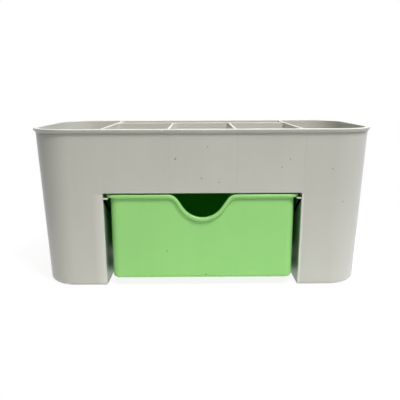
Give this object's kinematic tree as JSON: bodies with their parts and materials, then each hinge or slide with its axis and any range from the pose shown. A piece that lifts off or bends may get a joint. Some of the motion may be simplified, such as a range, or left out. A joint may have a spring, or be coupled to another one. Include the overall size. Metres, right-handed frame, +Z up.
{
  "type": "makeup storage box",
  "caption": "Desk organizer box with rounded ends: tall end cups, square tray cells and a rear slot above a drawer that slides out in front.",
  "frame": {"origin": "centre of the box on the surface it stands on", "axes": "+X along the width to the right, the drawer opens towards -Y, +Z up"},
  "size_m": [0.22, 0.103, 0.103],
  "materials": {
    "body_plastic": "smooth moulded polypropylene, warm pale grey, satin",
    "drawer_plastic": "smooth moulded polypropylene, light green, soft gloss"
  },
  "bodies": {
    "box": {"box_body": "body_plastic"},
    "drawer": {"drawer": "drawer_plastic"}
  },
  "joints": [
    {"name": "drawer_slide", "type": "slide", "parent": "box", "child": "drawer", "axis": [0, -1, 0], "range_m": [0, 0.08]}
  ]
}
